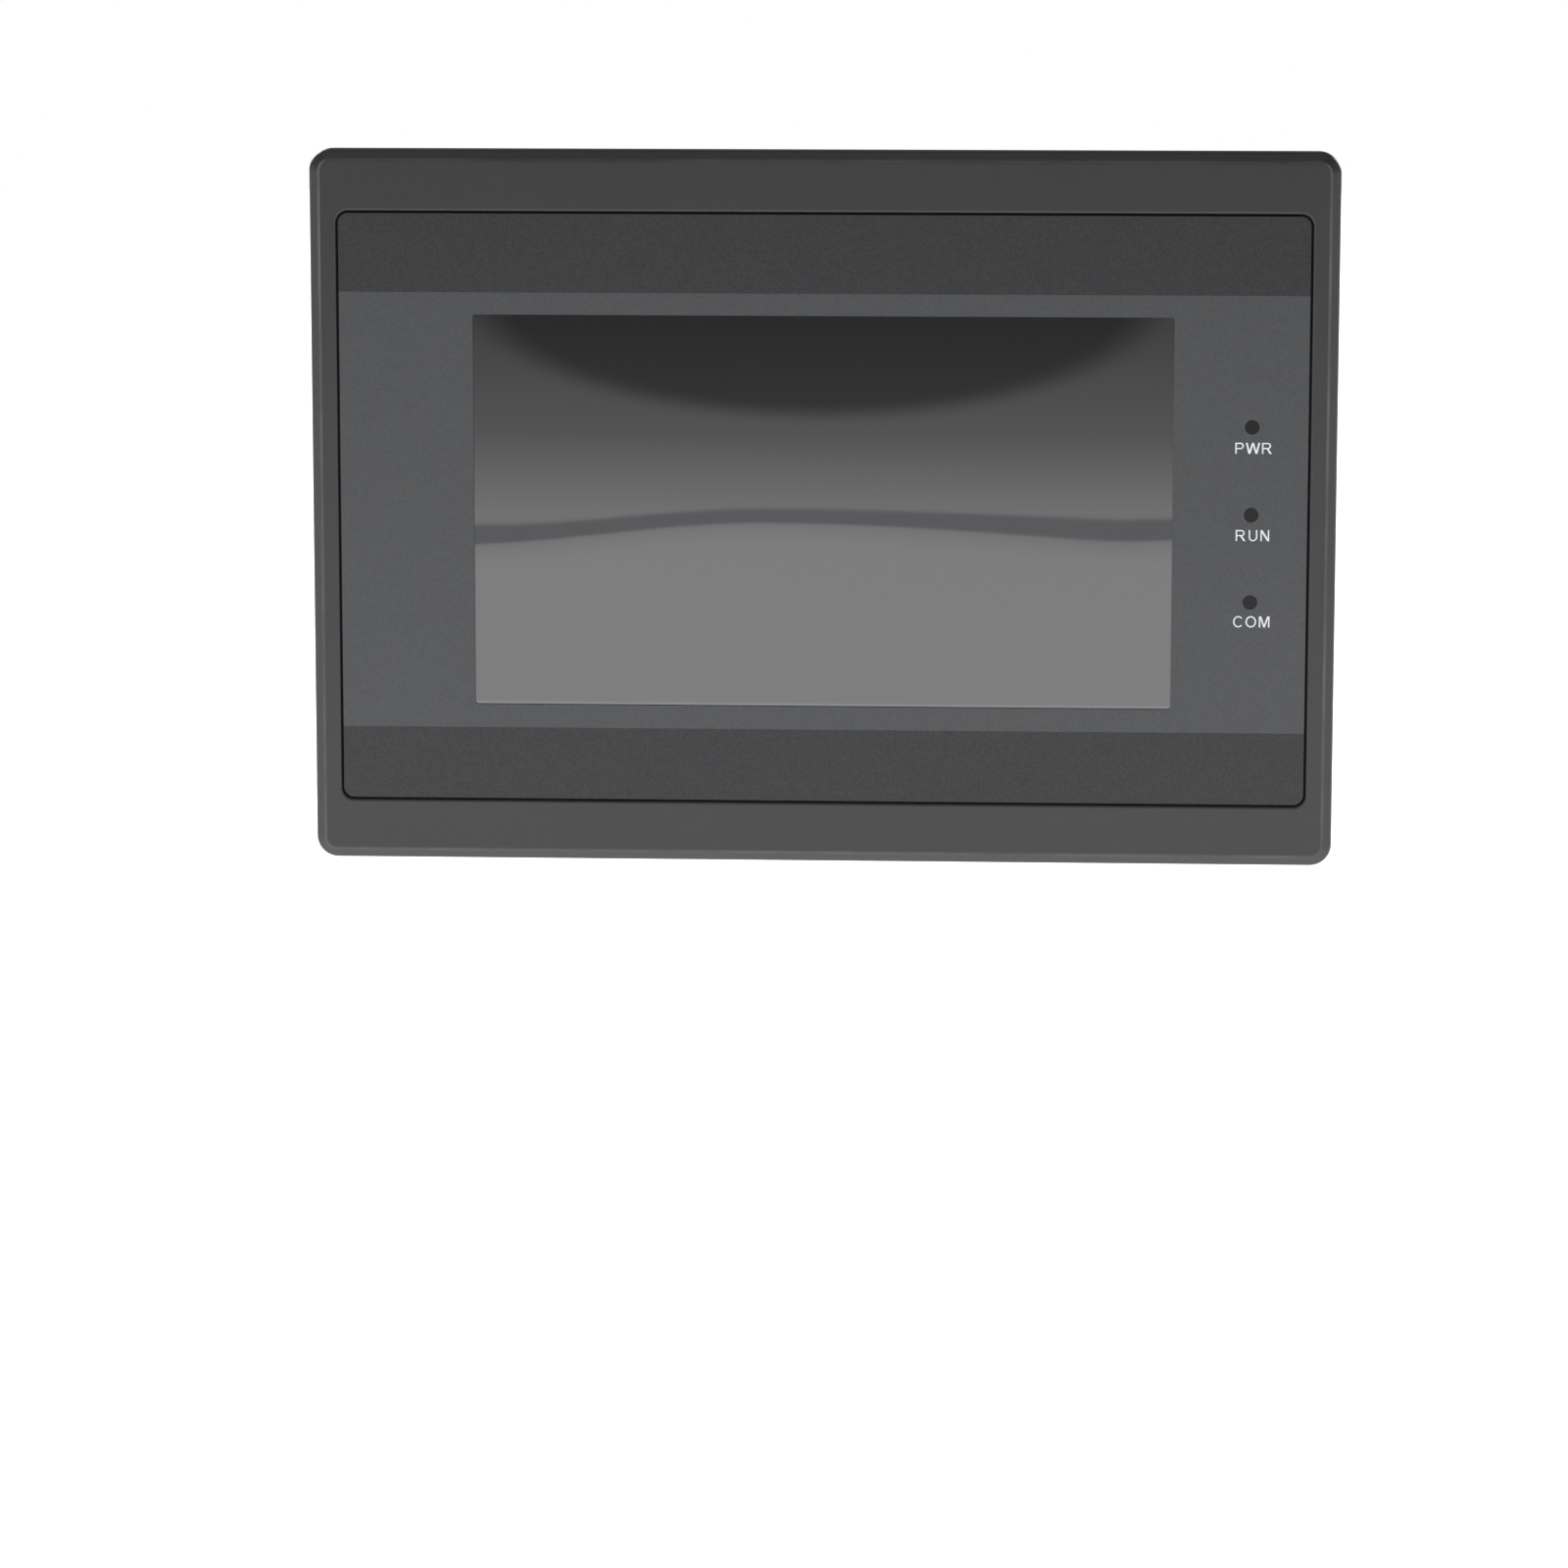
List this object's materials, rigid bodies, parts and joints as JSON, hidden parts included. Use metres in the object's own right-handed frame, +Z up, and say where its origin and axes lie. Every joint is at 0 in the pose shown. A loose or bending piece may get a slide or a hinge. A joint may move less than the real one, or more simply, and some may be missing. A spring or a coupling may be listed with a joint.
{
  "type": "hmi touch panel",
  "caption": "Panel-mounted operator terminal: flat touch display in a wide dark bezel, status lamps, rear housing with connectors, plug-in terminal and screw clamps.",
  "frame": {"origin": "centre of the cabinet cut-out, on the plane of the bezel's rear flange where it seats on the cabinet sheet", "axes": "+X to the right seen from the front, +Z up, the screen faces -Y and the rear housing reaches towards +Y"},
  "size_m": [0.228, 0.0395, 0.159],
  "materials": {
    "bezel_abs": "moulded, fine texture",
    "housing_abs": "moulded, fine texture",
    "overlay_film": "fine-grained polyester",
    "lamp_window": "polished",
    "touch_film": "polished film",
    "touch_glass": "polished",
    "black_tape": "matt",
    "flex_film": "polyimide film",
    "gasket_rubber": "closed-cell",
    "display_glass": "polished",
    "clear_acrylic": "polished",
    "white_plastic": "matt",
    "sheet_steel": "zinc plated",
    "screw_steel": "zinc plated",
    "brass": "turned",
    "circuit_board": "solder mask",
    "chip_black": "matt",
    "can_aluminium": "satin",
    "terminal_green": "moulded",
    "tinned_metal": "tin plated",
    "switch_red": "moulded",
    "cable_grey": "matt",
    "label_foil": "satin foil"
  },
  "bodies": {
    "unit": {"front_bezel": "bezel_abs", "graphic_overlay": "overlay_film", "lamp_lenses": "lamp_window", "touch_film": "touch_film", "touch_spacer": "black_tape", "touch_glass": "touch_glass", "touch_tape": "black_tape", "touch_tail": "flex_film", "display_gasket": "gasket_rubber", "display_glass": "display_glass", "display_frame": "sheet_steel", "light_guide": "clear_acrylic", "backlight_tray": "white_plastic", "display_flex": "flex_film", "chassis_plate": "sheet_steel", "chassis_screws": "screw_steel", "board_standoffs": "brass", "main_board": "circuit_board", "board_screws": "screw_steel", "lamp_board": "circuit_board", "status_lamps": "white_plastic", "lamp_cable": "cable_grey", "flex_connectors": "white_plastic", "processor": "chip_black", "memory_chips": "chip_black", "power_inductors": "chip_black", "capacitors": "can_aluminium", "battery_holder": "chip_black", "coin_cell": "tinned_metal", "buzzer": "chip_black", "terminal_header": "terminal_green", "header_pins": "tinned_metal", "com_port_shells": "tinned_metal", "com_port_inserts": "chip_black", "com_port_jackscrews": "screw_steel", "usb_shells": "tinned_metal", "usb_tongues": "chip_black", "mode_switch": "switch_red", "rear_housing": "housing_abs", "housing_screws": "screw_steel", "rear_label": "label_foil", "panel_gasket": "gasket_rubber"},
    "plug": {"terminal_plug": "terminal_green", "plug_contacts": "tinned_metal"},
    "pole_screw_1": {"terminal_screw_1": "screw_steel"},
    "cage_1": {"wire_clamp_1": "tinned_metal"},
    "pole_screw_2": {"terminal_screw_2": "screw_steel"},
    "cage_2": {"wire_clamp_2": "tinned_metal"},
    "pole_screw_3": {"terminal_screw_3": "screw_steel"},
    "cage_3": {"wire_clamp_3": "tinned_metal"},
    "slider_1": {"mode_slider_1": "white_plastic"},
    "slider_2": {"mode_slider_2": "white_plastic"},
    "slider_3": {"mode_slider_3": "white_plastic"},
    "slider_4": {"mode_slider_4": "white_plastic"},
    "bracket_left": {"clamp_left": "sheet_steel"},
    "bracket_screw_left": {"clamp_screw_left": "screw_steel"},
    "bracket_right": {"clamp_right": "sheet_steel"},
    "bracket_screw_right": {"clamp_screw_right": "screw_steel"}
  },
  "joints": [
    {"name": "plug_pull", "type": "slide", "parent": "unit", "child": "plug", "axis": [0, 0, -1], "range_m": [0, 0.012]},
    {"name": "terminal_screw_1_turn", "type": "hinge", "parent": "plug", "child": "pole_screw_1", "pos_m": [-0.07508, 0.021, -0.0594], "axis": [0, -1, 0], "range_deg": [0, 1441]},
    {"name": "wire_clamp_1_lift", "type": "slide", "parent": "plug", "child": "cage_1", "axis": [0, 1, 0], "range_m": [0, 0.002]},
    {"name": "terminal_screw_2_turn", "type": "hinge", "parent": "plug", "child": "pole_screw_2", "pos_m": [-0.07, 0.021, -0.0594], "axis": [0, -1, 0], "range_deg": [0, 1441]},
    {"name": "wire_clamp_2_lift", "type": "slide", "parent": "plug", "child": "cage_2", "axis": [0, 1, 0], "range_m": [0, 0.002]},
    {"name": "terminal_screw_3_turn", "type": "hinge", "parent": "plug", "child": "pole_screw_3", "pos_m": [-0.06492, 0.021, -0.0594], "axis": [0, -1, 0], "range_deg": [0, 1441]},
    {"name": "wire_clamp_3_lift", "type": "slide", "parent": "plug", "child": "cage_3", "axis": [0, 1, 0], "range_m": [0, 0.002]},
    {"name": "mode_slider_1_slide", "type": "slide", "parent": "unit", "child": "slider_1", "axis": [0, 1, 0], "range_m": [0, 0.0019]},
    {"name": "mode_slider_2_slide", "type": "slide", "parent": "unit", "child": "slider_2", "axis": [0, 1, 0], "range_m": [0, 0.0019]},
    {"name": "mode_slider_3_slide", "type": "slide", "parent": "unit", "child": "slider_3", "axis": [0, 1, 0], "range_m": [0, 0.0019]},
    {"name": "mode_slider_4_slide", "type": "slide", "parent": "unit", "child": "slider_4", "axis": [0, 1, 0], "range_m": [0, 0.0019]},
    {"name": "clamp_screw_left_turn", "type": "hinge", "parent": "unit", "child": "bracket_screw_left", "pos_m": [-0.1059, 0.015, 0], "axis": [0, 1, 0], "range_deg": [0, 2881]},
    {"name": "clamp_left_slide", "type": "slide", "parent": "unit", "child": "bracket_left", "axis": [0, -1, 0], "range_m": [0, 0.004]},
    {"name": "clamp_screw_right_turn", "type": "hinge", "parent": "unit", "child": "bracket_screw_right", "pos_m": [0.1059, 0.015, 0], "axis": [0, 1, 0], "range_deg": [0, 2881]},
    {"name": "clamp_right_slide", "type": "slide", "parent": "unit", "child": "bracket_right", "axis": [0, -1, 0], "range_m": [0, 0.004]}
  ],
  "couplings": [
    {"joint": "terminal_screw_1_turn", "follows": "wire_clamp_1_lift", "rad_per_m": 12566},
    {"joint": "terminal_screw_2_turn", "follows": "wire_clamp_2_lift", "rad_per_m": 12566},
    {"joint": "terminal_screw_3_turn", "follows": "wire_clamp_3_lift", "rad_per_m": 12566},
    {"joint": "clamp_screw_left_turn", "follows": "clamp_left_slide", "rad_per_m": 12566},
    {"joint": "clamp_screw_right_turn", "follows": "clamp_right_slide", "rad_per_m": 12566}
  ]
}
